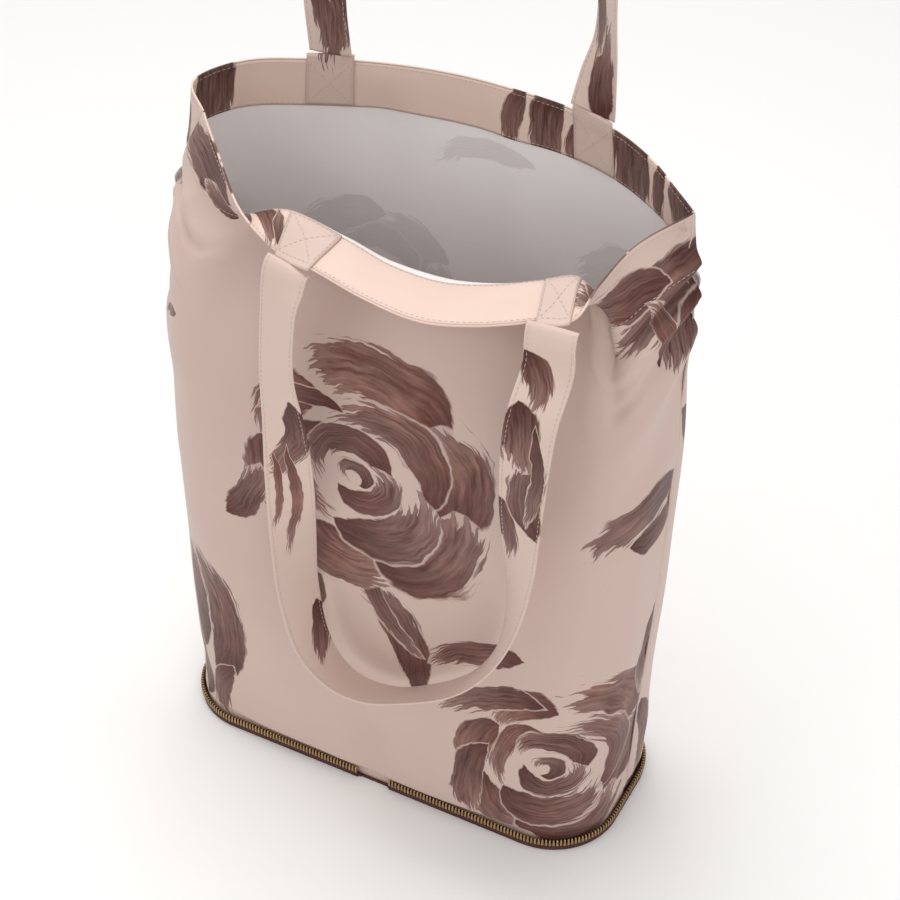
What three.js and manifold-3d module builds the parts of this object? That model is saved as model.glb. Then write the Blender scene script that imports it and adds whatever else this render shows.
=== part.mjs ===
// Foldable tote bag standing open on its unzipped clamshell pouch base.
// Millimetres, +Z up. Origin: centre of the underside of the base. The front faces -Y.
import * as THREE from 'three';
import { mergeVertices } from 'three/addons/utils/BufferGeometryUtils.js';
import Module from 'manifold-3d';

const wasm = await Module();
wasm.setup();

// ---- driving dimensions ----
const BASE_HALF_L = 167.2;      // tooth line of the opened base, half its length
const BASE_HALF_B = 69.4;       // half its depth
const BASE_R = 49.2;            // corner radius of the tooth line
const SPINE_HALF = 10.5;        // half the width of the cloth strip that joins the two pouch halves
const BASE_T = 1.4;             // base cloth with its lining
const TAPE_T = 0.9;
const TAPE_Z = [0.2, 6.2];      // zip tape, standing round the edge
const TEETH_T = 2.4;
const TEETH_Z = [6.5, 10.8];
const MID_Z = 12.0;             // where the two halves' zips meet when the pouch is closed
const CLOTH_T = 1.2;            // wall cloth, drawn thicker than the real 0.3 mm
const BAND_T = 1.0;
const GAP = 0.35;
const CUT_H = 495;              // cut height of a wall panel
const CUT_W = 421;              // its width at the foot
const BAND_H = 34;
const STRAP_W = 31;
const STRAP_T = 1.6;
const END_DEPTH = CLOTH_T + GAP + BAND_T + 0.5;     // handle ends, inside the mouth band
const END_REACH = { '-1': 3.5, 1: 5 };              // how far they pass the rim, front and back
const TAB_FRONT = [0.315, 0.740];   // handle ends, as fractions of the panel width
const TAB_BACK = [0.302, 0.744];
const SLIDER_X = -19;
const SLIDER_L = 11;
const SLIDER_H = 8;
const SLIDER_FREE = 0.4;        // room between the slider's plates and the teeth
const PULL_L = 17;
const PULL_W = 6.4;

// ---- wall shape: each row is one height of the cloth, each entry one station across it ----
// The foot rows follow the tooth line: [height, inset, z]; the back leaves room for the slider.
const FOOT_FRONT = [[0, 3.4, 2], [0.012, 3.1, 8], [0.022, 2.7, 12.6]];
const FOOT_BACK = [[0, 4.6, 2], [0.012, 4.6, 8], [0.028, 4.6, 16]];
const ROW_V = [0.05, 0.24, 0.50, 0.70, 0.82, 0.885, 0.93, 1];
const FRONT_U = [0, 0.08, 0.18, 0.27, 0.36, 0.45, 0.54, 0.62, 0.70, 0.785, 0.845, 0.91, 1];
const FRONT = [
  [[-166, 0, 21], [-163, -33, 21], [-136, -63, 21], [-98, -71.5, 20], [-60, -72.5, 20],
    [-20, -73.5, 18], [18, -73.5, 18], [52, -72.5, 19], [86, -72, 20], [112, -70, 20],
    [137, -63.5, 21], [162, -42, 21], [167.5, 0, 21]],
  [[-167, 0, 112], [-166, -33, 112], [-136, -62.5, 114], [-97, -71, 116], [-58, -73, 117],
    [-17, -74, 116], [23, -75, 115], [57, -74, 116], [91, -73, 116], [117, -69, 115],
    [142, -61, 114], [166, -38, 114], [172, 2, 115]],
  [[-168, 0, 238], [-167.5, -32, 238], [-138, -62, 238], [-95, -67, 244], [-55, -68, 246],
    [-13, -68, 245], [30, -69, 243], [65, -69, 245], [98, -68, 244], [125, -64.5, 243],
    [149, -54.5, 240], [171, -31, 241], [177, 6, 243]],
  [[-169, -2, 335], [-168, -32, 336], [-137, -59, 336], [-91, -58, 345], [-51, -57, 347],
    [-9, -57, 343], [36, -58, 341], [72, -57, 344], [103, -55, 343], [130, -52, 343],
    [153, -47, 333], [172, -26, 338], [178, 12, 341]],
  [[-166, -4, 394], [-158, -32, 391], [-130, -51, 388], [-85, -42, 401], [-46, -42, 405],
    [-5, -43, 400], [40, -44, 398], [76, -42, 401], [105, -38, 399], [131, -38, 399],
    [152, -41, 383], [170, -25, 396], [179, 16, 400]],
  [[-167, -6, 425], [-150, -30, 417], [-118, -43, 414], [-74, -34, 432], [-34, -33, 434],
    [3, -34, 428], [44, -34, 427], [79, -31, 431], [105, -23, 430], [129, -22, 429],
    [149, -34, 410], [166, -19, 424], [179, 17, 432]],
  [[-160, -6, 449], [-136, -28, 437], [-104, -37, 432], [-62, -43, 452], [-17, -49, 448],
    [13, -51, 441], [47, -51, 440], [78, -47, 446], [105, -34, 450], [126, -26, 451],
    [146, -30, 428], [162, -14, 440], [178, 17, 454]],
  [[-142, -8, 480], [-118, -29, 466], [-88, -55, 452], [-56, -68, 441], [-21, -79, 443],
    [15, -85, 439], [52, -87, 437], [82, -76, 437], [112, -62, 441], [134, -55, 446],
    [139, -34, 458], [148, -6, 471], [174, 15, 489]],
];
const BACK_U = [0, 0.08, 0.17, 0.27, 0.38, 0.50, 0.62, 0.72, 0.80, 0.88, 0.94, 1];
const BACK = [
  [[-166, 0, 21], [-163.5, 33, 24], [-139.5, 62.5, 26], [-98, 69.5, 26], [-51, 70, 26],
    [0, 70, 26], [50, 71, 26], [93, 71, 26], [127, 68, 26], [155.5, 50.5, 25], [166, 27, 22],
    [167.5, 0, 21]],
  [[-167, 0, 112], [-166, 32, 113], [-141, 60, 114], [-100, 71, 115], [-53, 76, 115],
    [-2, 77, 116], [49, 76, 116], [91, 73, 116], [125, 68, 116], [153, 51, 115], [168, 29, 115],
    [172, 2, 115]],
  [[-168, 0, 238], [-166.5, 30, 239], [-145, 57, 241], [-105, 72, 242], [-57, 79, 243],
    [-5, 81, 244], [45, 80, 245], [88, 76, 245], [123, 68, 245], [154, 51, 244], [172, 32, 243],
    [177, 6, 243]],
  [[-169, -2, 335], [-167.5, 27, 338], [-148, 53, 340], [-110, 71, 341], [-61, 80, 343],
    [-9, 83, 345], [41, 82, 346], [85, 77, 346], [120, 68, 345], [152, 52, 344], [173, 34, 343],
    [178, 12, 341]],
  [[-166, -4, 394], [-168, 24, 398], [-150, 50, 399], [-113, 70, 399], [-64, 81, 402],
    [-12, 84, 405], [38, 83, 406], [81, 77, 406], [115, 68, 405], [147, 52, 404], [169, 37, 402],
    [179, 16, 400]],
  [[-167, -6, 425], [-168, 20, 429], [-150, 48, 431], [-114, 70, 431], [-66, 81, 434],
    [-14, 85, 437], [36, 83, 438], [79, 77, 438], [112, 67, 437], [143, 50, 436], [164, 36, 434],
    [179, 17, 432]],
  [[-160, -6, 449], [-166, 17, 451], [-149, 47, 453], [-113, 69, 453], [-67, 81, 456],
    [-15, 85, 459], [35, 83, 460], [77, 77, 460], [110, 66, 459], [140, 48, 458], [160, 33, 456],
    [178, 17, 454]],
  [[-142, -8, 480], [-163, 14, 485], [-146, 46, 488], [-110, 68, 488], [-65, 80, 491],
    [-15, 84, 494], [34, 82, 495], [75, 76, 495], [107, 65, 494], [136, 47, 493], [155, 31, 491],
    [174, 15, 489]],
];

const vec = (a) => new THREE.Vector3(a[0], a[1], a[2]);

function steps(a, b, n) {
  return Array.from({ length: n + 1 }, (_, i) => a + (b - a) * i / n);
}

// A point at arc length s along the tooth line moved inward by `inset`, from the left end (x < 0)
// along the front (side -1) or the back (side +1) to the right end.
function outline(s, inset, side) {
  const l = BASE_HALF_L - inset;
  const b = BASE_HALF_B - inset;
  const r = BASE_R - inset;
  const flat = b - r;
  const arc = r * Math.PI / 2;
  const long = 2 * (l - r);
  if (s < flat) return [-l, side * s];
  if (s < flat + arc) {
    const a = (s - flat) / r;
    return [-l + r - r * Math.cos(a), side * (flat + r * Math.sin(a))];
  }
  if (s < flat + arc + long) return [-l + r + s - flat - arc, side * b];
  if (s < flat + 2 * arc + long) {
    const a = (s - flat - arc - long) / r;
    return [l - r + r * Math.sin(a), side * (flat + r * Math.cos(a))];
  }
  return [l, side * (2 * flat + 2 * arc + long - s)];
}

function outlineLength(inset) {
  const flat = BASE_HALF_B - BASE_R;
  return 2 * flat + (BASE_R - inset) * Math.PI + 2 * (BASE_HALF_L - BASE_R);
}

// Smooth curve through values at uneven stations (cubic, with averaged slopes).
function smooth(t, at, values) {
  let i = 0;
  while (i < at.length - 2 && t > at[i + 1]) i += 1;
  const slope = (k) => {
    const a = Math.max(k - 1, 0);
    const b = Math.min(k + 1, at.length - 1);
    return values[b].clone().sub(values[a]).divideScalar(at[b] - at[a]);
  };
  const h = at[i + 1] - at[i];
  const x = (t - at[i]) / h;
  const p = values[i].clone().multiplyScalar(1 + x * x * (2 * x - 3));
  p.addScaledVector(values[i + 1], x * x * (3 - 2 * x));
  p.addScaledVector(slope(i), h * x * (1 - x) * (1 - x));
  p.addScaledVector(slope(i + 1), h * x * x * (x - 1));
  return p;
}

function wallPoint(side, u, v) {
  const at = side < 0 ? FRONT_U : BACK_U;
  const rows = side < 0 ? FRONT : BACK;
  const foot = side < 0 ? FOOT_FRONT : FOOT_BACK;
  const column = foot.map(([, inset, z]) => {
    const [x, y] = outline(u * outlineLength(inset), inset, side);
    return new THREE.Vector3(x, y, z);
  });
  for (const row of rows) column.push(smooth(u, at, row.map(vec)));
  return smooth(v, [...foot.map((f) => f[0]), ...ROW_V], column);
}

// Outward unit normal of the wall.
function wallNormal(side, u, v) {
  const e = 0.004;
  const du = wallPoint(side, Math.min(u + e, 1), v).sub(wallPoint(side, Math.max(u - e, 0), v));
  const dv = wallPoint(side, u, Math.min(v + e, 1)).sub(wallPoint(side, u, Math.max(v - e, 0)));
  return du.cross(dv).multiplyScalar(-side).normalize();
}

// Closed slab between two grids of points with the same layout; `flip` turns its faces about.
function slab(outer, inner, flip) {
  const rows = outer.length;
  const cols = outer[0].length;
  const points = [];
  for (const grid of [outer, inner]) {
    for (const row of grid) row.forEach((p) => points.push(p.x, p.y, p.z));
  }
  const id = (k, i, j) => (k * rows + i) * cols + j;
  const index = [];
  const quad = (a, b, c, d) => {
    index.push(...(flip ? [a, c, b, a, d, c] : [a, b, c, a, c, d]));
  };
  for (let i = 0; i < rows - 1; i += 1) {
    for (let j = 0; j < cols - 1; j += 1) {
      quad(id(0, i, j), id(0, i + 1, j), id(0, i + 1, j + 1), id(0, i, j + 1));
      quad(id(1, i, j), id(1, i, j + 1), id(1, i + 1, j + 1), id(1, i + 1, j));
    }
  }
  for (let i = 0; i < rows - 1; i += 1) {
    quad(id(0, i, 0), id(1, i, 0), id(1, i + 1, 0), id(0, i + 1, 0));
    quad(id(0, i + 1, cols - 1), id(1, i + 1, cols - 1), id(1, i, cols - 1), id(0, i, cols - 1));
  }
  for (let j = 0; j < cols - 1; j += 1) {
    quad(id(0, 0, j + 1), id(1, 0, j + 1), id(1, 0, j), id(0, 0, j));
    quad(id(0, rows - 1, j), id(1, rows - 1, j), id(1, rows - 1, j + 1), id(0, rows - 1, j + 1));
  }
  const g = new THREE.BufferGeometry();
  g.setAttribute('position', new THREE.Float32BufferAttribute(points, 3));
  g.setIndex(index);
  return g;
}

// A layer of cloth that follows the wall, between two depths inside its outer face.
function wallLayer(side, uList, vList, depth) {
  const outer = [];
  const inner = [];
  for (const u of uList) {
    const i = outer.length;
    outer.push([]);
    inner.push([]);
    for (const v of vList) {
      const p = wallPoint(side, u, v);
      const n = wallNormal(side, u, v);
      outer[i].push(p.clone().addScaledVector(n, -depth[0]));
      inner[i].push(p.clone().addScaledVector(n, -depth[1]));
    }
  }
  return slab(outer, inner, side > 0);
}

// Stations of the mesh: the band and the handle ends share the panel's, so the layers stay apart.
const BAND_V = steps(1 - BAND_H / CUT_H, 0.998, 4);
const BAND_U = steps(0.018, 0.982, 34);

function panel(side) {
  const foot = [0, 0.012, 0.022, 0.028, 0.038, 0.05];
  const v = [...foot, 0.1, 0.17, 0.24, 0.37, 0.5, 0.6, 0.7, 0.77, 0.82, 0.855, 0.885, 0.91, ...BAND_V, 1];
  return wallLayer(side, [0.004, ...BAND_U, 0.996], v, [0, CLOTH_T]);
}

function mouthBand(side) {
  const depth = [CLOTH_T + GAP, CLOTH_T + GAP + BAND_T];
  return wallLayer(side, BAND_U, BAND_V, depth);
}

// The sewn end of a handle: flat on the inside of the mouth band, then just past the rim.
function handleEnd(side, u) {
  const half = STRAP_W / CUT_W / 2;
  const outer = [];
  const inner = [];
  const within = BAND_U.filter((x) => Math.abs(x - u) < half - 0.004);
  for (const at of [u - half, ...within, u + half]) {
    const i = outer.length;
    outer.push([]);
    inner.push([]);
    for (const v of BAND_V) {
      const p = wallPoint(side, at, v);
      const n = wallNormal(side, at, v);
      outer[i].push(p.clone().addScaledVector(n, -END_DEPTH));
      inner[i].push(p.clone().addScaledVector(n, -END_DEPTH - STRAP_T));
    }
    for (const grid of [outer, inner]) {
      const row = grid[i];
      const last = row[row.length - 1];
      const along = last.clone().sub(row[row.length - 2]).normalize();
      row.push(last.clone().addScaledVector(along, END_REACH[side]));
    }
  }
  return slab(outer, inner, side > 0);
}

// Where a handle starts: the middle of its sewn end's edge, and a little beyond it.
function handleRoot(side, u) {
  const p = wallPoint(side, u, 1);
  const n = wallNormal(side, u, 1);
  const along = p.clone().sub(wallPoint(side, u, 0.99)).normalize();
  p.addScaledVector(n, -(END_DEPTH + STRAP_T / 2));
  return p.addScaledVector(along, END_REACH[side] + 1.2);
}

// Flat strap swept along a path; each station gives the direction its outer face looks.
function strap(path, faces, count) {
  const at = steps(0, path.length - 1, path.length - 1);
  const outer = [];
  const inner = [];
  for (let i = 0; i <= count; i += 1) {
    const t = (path.length - 1) * i / count;
    const p = smooth(t, at, path);
    const ahead = smooth(Math.min(t + 0.02, path.length - 1), at, path);
    const tangent = ahead.sub(smooth(Math.max(t - 0.02, 0), at, path)).normalize();
    const n = smooth(t, at, faces);
    n.addScaledVector(tangent, -n.dot(tangent)).normalize();
    const w = n.clone().cross(tangent).multiplyScalar(STRAP_W / 2);
    const edge = (sign, depth) => p.clone().addScaledVector(w, sign).addScaledVector(n, depth);
    outer.push([edge(1, STRAP_T / 2), edge(0, STRAP_T / 2), edge(-1, STRAP_T / 2)]);
    inner.push([edge(1, -STRAP_T / 2), edge(0, -STRAP_T / 2), edge(-1, -STRAP_T / 2)]);
  }
  return slab(outer, inner, true);
}

function frontHandle() {
  const a = handleRoot(-1, TAB_FRONT[0]);
  const b = handleRoot(-1, TAB_FRONT[1]);
  const path = [
    [a.x, a.y - 0.6, a.z - 1.6], [a.x - 4, a.y - 8, a.z - 28], [-45, -91, 371], [-42, -91, 328],
    [-40, -92, 284], [-39, -93, 238], [-37, -94, 194], [-27, -96, 153], [-6, -97, 130],
    [22, -97, 128], [54, -97, 144], [85, -97, 168], [106, -96, 199], [118, -95, 240],
    [121, -93, 285], [121, -92, 330], [124, -90, 386], [b.x + 1.5, b.y - 8, b.z - 22],
    [b.x, b.y - 0.6, b.z - 1.6],
  ].map(vec);
  const faces = [
    [-0.1, -1, 0], [-0.3, -0.95, 0], [-0.28, -0.96, 0], [0.05, -1, 0], [0.45, -0.9, 0],
    [0.75, -0.66, 0], [0.88, -0.45, 0.15], [0.75, -0.15, 0.45], [0.45, 0.2, 0.8],
    [0, 0.3, 0.95], [-0.25, 0.25, 0.93], [-0.5, 0.1, 0.8], [-0.7, -0.15, 0.55],
    [-0.75, -0.55, 0.25], [-0.46, -0.89, 0], [-0.12, -1, 0], [0.2, -0.98, 0], [0.15, -1, 0],
    [0.1, -1, 0],
  ].map(vec);
  return strap(path, faces, 44);
}

function backHandle() {
  const a = handleRoot(1, TAB_BACK[0]);
  const b = handleRoot(1, TAB_BACK[1]);
  const path = [
    [a.x, a.y, a.z + 0.5], [-99, a.y, 530], [-100, 71, 580], [-99, 71, 640], [-92, 71, 700],
    [-63, 71, 762], [-5, 71, 790], [54, 71, 762], [84, 71, 700], [90, 71, 640], [90, 71, 580],
    [90, 71, 545], [b.x + 2.5, b.y, b.z + 20], [b.x, b.y, b.z + 0.5],
  ].map(vec);
  const faces = [
    [0, -1, 0], [0, -1, 0], [0.15, -1, 0], [0.5, -0.85, 0], [0.85, -0.5, -0.1], [0.7, -0.25, -0.6],
    [0, -0.2, -1], [-0.7, -0.3, -0.6], [-0.85, -0.5, -0.1], [-0.78, -0.62, 0], [-0.74, -0.67, 0],
    [-0.65, -0.76, 0], [-0.37, -0.93, 0], [-0.1, -1, 0],
  ].map(vec);
  return strap(path, faces, 44);
}

// Binding inside a side seam, from the foot to just under the mouth band.
function seamBinding(u) {
  const outer = [];
  const inner = [];
  const way = u < 0.5 ? 1 : -1;
  steps(0.03, 0.905, 14).forEach((v, i) => {
    const p = wallPoint(-1, u, v);
    const row = (x) => [-2.5, 0, 2.5].map((y) => new THREE.Vector3(p.x + way * x, p.y + y, p.z));
    outer[i] = row(5);
    inner[i] = row(6);
  });
  return slab(outer, inner, way < 0);
}

// One half of the pouch: a flat panel with two rounded outer corners.
function basePanel(side) {
  const inset = 0.9;
  const from = SPINE_HALF + 0.3;
  const deep = BASE_HALF_B - inset;
  const total = outlineLength(inset);
  const along = steps(total / 2, total, 40);
  const shape = new THREE.Shape();
  shape.moveTo(side * from, -deep);
  for (const [row, spots] of [[-1, along], [1, along.slice(0, -1).reverse()]]) {
    for (const s of spots) {
      const [x, y] = outline(s, inset, row);
      if (x > from + 1) shape.lineTo(side * x, y);
    }
  }
  shape.lineTo(side * from, deep);
  shape.closePath();
  return new THREE.ExtrudeGeometry(shape, { depth: BASE_T, bevelEnabled: false });
}

function spine() {
  const strip = new THREE.BoxGeometry(2 * SPINE_HALF - 0.4, 2 * (BASE_HALF_B - 2), BASE_T);
  return strip.translate(0, 0, BASE_T / 2);
}

// A strip standing on the tooth line of one half, from the spine round to the spine.
function edgeStrip(side, thick, zRange) {
  const outer = [];
  const inner = [];
  const total = outlineLength(0);
  const from = total / 2 + SPINE_HALF + 2.5;
  const spots = steps(from, total, 26).map((s) => outline(s, 0, -1));
  spots.push(...steps(from, total, 26).reverse().slice(1).map((s) => outline(s, 0, 1)));
  spots.forEach(([x, y], i) => {
    const [x0, y0] = spots[Math.max(i - 1, 0)];
    const [x1, y1] = spots[Math.min(i + 1, spots.length - 1)];
    const size = Math.hypot(x1 - x0, y1 - y0);
    const nx = (y1 - y0) / size;
    const ny = -(x1 - x0) / size;
    const row = (d) => zRange.map((z) => new THREE.Vector3(side * (x + nx * d), y + ny * d, z));
    outer.push(row(thick / 2));
    inner.push(row(-thick / 2));
  });
  return slab(outer, inner, side < 0);
}

// Boxes, each given as its size and its centre, joined into one closed body.
function joined(boxes) {
  let whole = null;
  for (const [size, centre] of boxes) {
    const box = new THREE.BoxGeometry(...size).translate(...centre);
    box.deleteAttribute('normal');
    box.deleteAttribute('uv');
    const { attributes, index } = mergeVertices(box);
    const solid = new wasm.Manifold(new wasm.Mesh({
      numProp: 3,
      vertProperties: new Float32Array(attributes.position.array),
      triVerts: new Uint32Array(index.array),
    }));
    whole = whole ? whole.add(solid) : solid;
  }
  const mesh = whole.getMesh();
  const g = new THREE.BufferGeometry();
  g.setAttribute('position', new THREE.Float32BufferAttribute(mesh.vertProperties, 3));
  g.setIndex(Array.from(mesh.triVerts));
  return g;
}

// Slider: two plates with the chain between them, a divider post and a bridge for the pull.
function slider() {
  const outside = BASE_HALF_B + TEETH_T / 2 + SLIDER_FREE;
  const inside = BASE_HALF_B - TEETH_T / 2 - SLIDER_FREE;
  const bar = 1.6;
  const plates = [
    [[SLIDER_L, 1, SLIDER_H], [SLIDER_X, inside - 0.5, MID_Z]],
    [[SLIDER_L, 1.2, SLIDER_H], [SLIDER_X, outside + 0.6, MID_Z]],
  ];
  const post = [[2.4, outside - inside + 0.4, bar], [SLIDER_X + 4, BASE_HALF_B, MID_Z]];
  const legs = [-3.2, 3.2].map((x) => [[1.4, 3.4, bar], [SLIDER_X + x, outside + 2.7, MID_Z]]);
  const bridge = [[7.8, 1.2, bar], [SLIDER_X, outside + 3.8, MID_Z]];
  return joined([...plates, post, ...legs, bridge]);
}

// Pull: a cross bar under the bridge, two arms and a flat tab.
function pull() {
  const y = BASE_HALF_B + TEETH_T / 2 + SLIDER_FREE + 2.2;
  const arms = [2.6, -2.6].map((z) => [[7, 1, 1.2], [SLIDER_X - 3.5, y, MID_Z + z]]);
  const bar = [[1, 1, PULL_W], [SLIDER_X, y, MID_Z]];
  const tab = [[PULL_L, 1, PULL_W], [SLIDER_X - 6.5 - PULL_L / 2, y, MID_Z]];
  return joined([...arms, bar, tab]);
}

// ---- assembly ----
const BLUSH = new THREE.MeshStandardMaterial({ color: 0xe6d3c8, roughness: 0.6 });
const MAROON = new THREE.MeshStandardMaterial({ color: 0x4a2826, roughness: 0.8 });
const BRASS = new THREE.MeshStandardMaterial({ color: 0x9a7b4f, metalness: 1, roughness: 0.4 });

const bag = new THREE.Group();
function add(name, geometry, material) {
  geometry.computeVertexNormals();
  const mesh = new THREE.Mesh(geometry, material);
  mesh.name = name;
  bag.add(mesh);
}

add('front_panel', panel(-1), BLUSH);
add('back_panel', panel(1), BLUSH);
add('front_mouth_band', mouthBand(-1), BLUSH);
add('back_mouth_band', mouthBand(1), BLUSH);
add('left_seam_binding', seamBinding(0), BLUSH);
add('right_seam_binding', seamBinding(1), BLUSH);
add('front_handle_left_end', handleEnd(-1, TAB_FRONT[0]), BLUSH);
add('front_handle_right_end', handleEnd(-1, TAB_FRONT[1]), BLUSH);
add('back_handle_left_end', handleEnd(1, TAB_BACK[0]), BLUSH);
add('back_handle_right_end', handleEnd(1, TAB_BACK[1]), BLUSH);
add('front_handle', frontHandle(), BLUSH);
add('back_handle', backHandle(), BLUSH);
add('base_spine', spine(), MAROON);
for (const [name, side] of [['left', -1], ['right', 1]]) {
  add(`base_${name}_panel`, basePanel(side), MAROON);
  add(`zip_tape_${name}`, edgeStrip(side, TAPE_T, TAPE_Z), MAROON);
  add(`zip_teeth_${name}`, edgeStrip(side, TEETH_T, TEETH_Z), BRASS);
}
add('zip_slider', slider(), BRASS);
add('zip_pull', pull(), BRASS);

export default bag;
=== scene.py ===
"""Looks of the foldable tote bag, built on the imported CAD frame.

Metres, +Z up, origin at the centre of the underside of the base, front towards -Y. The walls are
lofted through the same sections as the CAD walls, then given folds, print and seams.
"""
import math

import bpy
import numpy as np
from mathutils import Matrix, Vector


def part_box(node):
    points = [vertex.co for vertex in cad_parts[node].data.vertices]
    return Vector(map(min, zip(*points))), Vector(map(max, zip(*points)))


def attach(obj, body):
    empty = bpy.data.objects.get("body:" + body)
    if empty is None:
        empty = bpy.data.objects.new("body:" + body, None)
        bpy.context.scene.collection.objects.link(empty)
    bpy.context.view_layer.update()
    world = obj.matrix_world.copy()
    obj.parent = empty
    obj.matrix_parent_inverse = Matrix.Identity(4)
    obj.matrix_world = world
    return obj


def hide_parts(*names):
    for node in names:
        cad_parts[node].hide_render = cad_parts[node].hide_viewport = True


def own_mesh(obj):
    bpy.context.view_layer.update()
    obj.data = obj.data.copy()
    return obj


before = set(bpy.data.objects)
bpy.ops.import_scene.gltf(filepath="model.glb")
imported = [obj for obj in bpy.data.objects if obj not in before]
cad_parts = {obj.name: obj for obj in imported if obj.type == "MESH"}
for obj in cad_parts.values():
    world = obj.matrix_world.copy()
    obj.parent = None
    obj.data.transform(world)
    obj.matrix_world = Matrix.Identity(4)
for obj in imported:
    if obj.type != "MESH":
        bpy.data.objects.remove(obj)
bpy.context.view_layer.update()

MM = 0.001
# ---- driving sizes, in millimetres ----
BASE_HALF_L, BASE_HALF_B, BASE_R = 167.2, 69.4, 49.2
SPINE_HALF = 10.5
CUT_W, CUT_H = 421.0, 495.0
BAND_H = 34.0
STRAP_W = 31.0
TAB_FRONT = (0.315, 0.740)
TAB_BACK = (0.302, 0.744)
CLOTH_T = 0.6
BAND_DEPTH = (0.75, 1.25)
END_DEPTH = (1.45, 2.75)
TOOTH_PITCH = 2.55
HEM = 2.2  # stitches to the strap's edge
END_RISE = {-1: 3.5, 1: 5}  # how far a sewn handle end stands above the rim
RIM_SIDES = 10
STRAP_START = 40  # where the strap's own print begins, past that of its sewn end
PRINT_SPLIT = 200  # height of the cloth where the upper strokes take over from the lower ones

# ---- wall shape: rows are heights of the cloth, entries are stations across it ----
ROW_V = [0.05, 0.24, 0.50, 0.70, 0.82, 0.885, 0.93, 1]
FOOT = {-1: [(0, 3.4, 2), (0.012, 3.1, 8), (0.022, 2.7, 12.6)],
        1: [(0, 4.6, 2), (0.012, 4.6, 8), (0.028, 4.6, 16)]}
STATIONS = {-1: [0, 0.08, 0.18, 0.27, 0.36, 0.45, 0.54, 0.62, 0.70, 0.785, 0.845, 0.91, 1],
            1: [0, 0.08, 0.17, 0.27, 0.38, 0.50, 0.62, 0.72, 0.80, 0.88, 0.94, 1]}
FRONT = [
    [(-166, 0, 21), (-163, -33, 21), (-136, -63, 21), (-98, -71.5, 20), (-60, -72.5, 20),
     (-20, -73.5, 18), (18, -73.5, 18), (52, -72.5, 19), (86, -72, 20), (112, -70, 20),
     (137, -63.5, 21), (162, -42, 21), (167.5, 0, 21)],
    [(-167, 0, 112), (-166, -33, 112), (-136, -62.5, 114), (-97, -71, 116), (-58, -73, 117),
     (-17, -74, 116), (23, -75, 115), (57, -74, 116), (91, -73, 116), (117, -69, 115),
     (142, -61, 114), (166, -38, 114), (172, 2, 115)],
    [(-168, 0, 238), (-167.5, -32, 238), (-138, -62, 238), (-95, -67, 244), (-55, -68, 246),
     (-13, -68, 245), (30, -69, 243), (65, -69, 245), (98, -68, 244), (125, -64.5, 243),
     (149, -54.5, 240), (171, -31, 241), (177, 6, 243)],
    [(-169, -2, 335), (-168, -32, 336), (-137, -59, 336), (-91, -58, 345), (-51, -57, 347),
     (-9, -57, 343), (36, -58, 341), (72, -57, 344), (103, -55, 343), (130, -52, 343),
     (153, -47, 333), (172, -26, 338), (178, 12, 341)],
    [(-166, -4, 394), (-158, -32, 391), (-130, -51, 388), (-85, -42, 401), (-46, -42, 405),
     (-5, -43, 400), (40, -44, 398), (76, -42, 401), (105, -38, 399), (131, -38, 399),
     (152, -41, 383), (170, -25, 396), (179, 16, 400)],
    [(-167, -6, 425), (-150, -30, 417), (-118, -43, 414), (-74, -34, 432), (-34, -33, 434),
     (3, -34, 428), (44, -34, 427), (79, -31, 431), (105, -23, 430), (129, -22, 429),
     (149, -34, 410), (166, -19, 424), (179, 17, 432)],
    [(-160, -6, 449), (-136, -28, 437), (-104, -37, 432), (-62, -43, 452), (-17, -49, 448),
     (13, -51, 441), (47, -51, 440), (78, -47, 446), (105, -34, 450), (126, -26, 451),
     (146, -30, 428), (162, -14, 440), (178, 17, 454)],
    [(-142, -8, 480), (-118, -29, 466), (-88, -55, 452), (-56, -68, 441), (-21, -79, 443),
     (15, -85, 439), (52, -87, 437), (82, -76, 437), (112, -62, 441), (134, -55, 446),
     (139, -34, 458), (148, -6, 471), (174, 15, 489)],
]
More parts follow.
